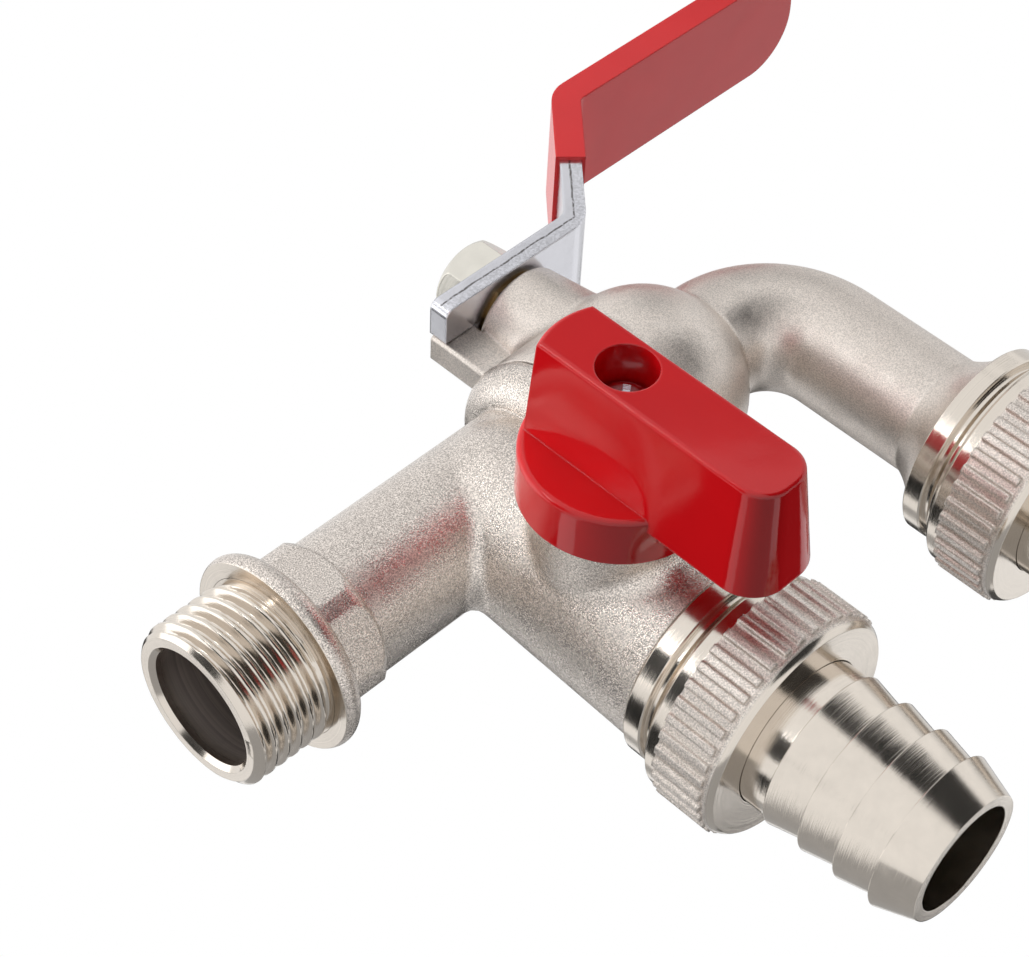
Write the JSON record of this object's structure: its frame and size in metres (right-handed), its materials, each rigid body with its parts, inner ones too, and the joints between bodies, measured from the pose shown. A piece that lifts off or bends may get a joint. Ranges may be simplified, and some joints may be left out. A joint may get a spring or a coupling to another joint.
{
  "type": "double outlet garden tap",
  "caption": "Wall tap with a lever ball valve on its bent spout and a knob ball valve on a branch, each ending in a coupling nut with a hose tail.",
  "frame": {"origin": "centre of the inlet collar's seat face, on the inlet axis", "axes": "-X out of the inlet towards the wall fitting, -Z out of both outlets, knob stem along -Y"},
  "size_m": [0.1458, 0.0512, 0.1144],
  "materials": {
    "cast_nickel": "bead blasted brass casting with satin nickel plating",
    "turned_nickel": "turned and nickel plated brass, fine lathe lines",
    "ribbed_nickel": "nickel plated coupling nut, blasted ribs and turned bands",
    "nickel_nut": "nickel plated hexagon nut",
    "zinc_steel": "bright zinc plated steel",
    "chromed_ball": "polished chromed brass",
    "brass": "plain turned brass",
    "red_knob": "glossy red moulded plastic",
    "red_coat": "soft gloss red dipped coat",
    "seal_plastic": "white low friction seal plastic",
    "black_rubber": "black rubber"
  },
  "bodies": {
    "tap_body": {"inlet_tee": "cast_nickel", "valve_body": "cast_nickel", "body_joint_seal": "black_rubber", "main_seat_rear": "seal_plastic", "main_seat_front": "seal_plastic", "main_thrust_washer": "seal_plastic", "main_packing": "seal_plastic", "main_gland_nut": "brass", "branch_seat_upper": "seal_plastic", "branch_seat_lower": "seal_plastic", "branch_thrust_washer": "seal_plastic", "branch_nipple": "turned_nickel", "nipple_seal": "black_rubber"},
    "main_valve": {"main_ball": "chromed_ball", "main_stem": "brass", "lever": "zinc_steel", "lever_grip": "red_coat", "lever_nut": "nickel_nut"},
    "branch_valve": {"branch_ball": "chromed_ball", "branch_stem": "brass", "branch_oring_inner": "black_rubber", "branch_oring_outer": "black_rubber", "knob": "red_knob", "knob_screw": "zinc_steel"},
    "branch_tail": {"branch_hose_tail": "turned_nickel", "branch_hose_washer": "black_rubber"},
    "branch_nut": {"branch_nut": "ribbed_nickel"},
    "spout_tail": {"spout_hose_tail": "turned_nickel", "spout_hose_washer": "black_rubber"},
    "spout_nut": {"spout_nut": "ribbed_nickel"}
  },
  "joints": [
    {"name": "lever_turn", "type": "hinge", "parent": "tap_body", "child": "main_valve", "pos_m": [0.0604, 0, 0], "axis": [0, 0, 1], "range_deg": [0, 90]},
    {"name": "knob_turn", "type": "hinge", "parent": "tap_body", "child": "branch_valve", "pos_m": [0.0354, 0, -0.019], "axis": [0, 1, 0], "range_deg": [0, 90]},
    {"name": "branch_tail_slide", "type": "slide", "parent": "tap_body", "child": "branch_tail", "axis": [0, 0, -1], "range_m": [0, 0.0047]},
    {"name": "branch_nut_turn", "type": "hinge", "parent": "branch_tail", "child": "branch_nut", "pos_m": [0.0354, 0, -0.043], "axis": [0, 0, -1], "range_deg": [0, 933.5]},
    {"name": "spout_tail_slide", "type": "slide", "parent": "tap_body", "child": "spout_tail", "axis": [0, 0, -1], "range_m": [0, 0.0047]},
    {"name": "spout_nut_turn", "type": "hinge", "parent": "spout_tail", "child": "spout_nut", "pos_m": [0.0856, 0, -0.043], "axis": [0, 0, -1], "range_deg": [0, 933.5]}
  ],
  "couplings": [
    {"joint": "branch_nut_turn", "follows": "branch_tail_slide", "rad_per_m": 3463.7},
    {"joint": "spout_nut_turn", "follows": "spout_tail_slide", "rad_per_m": 3463.7}
  ]
}
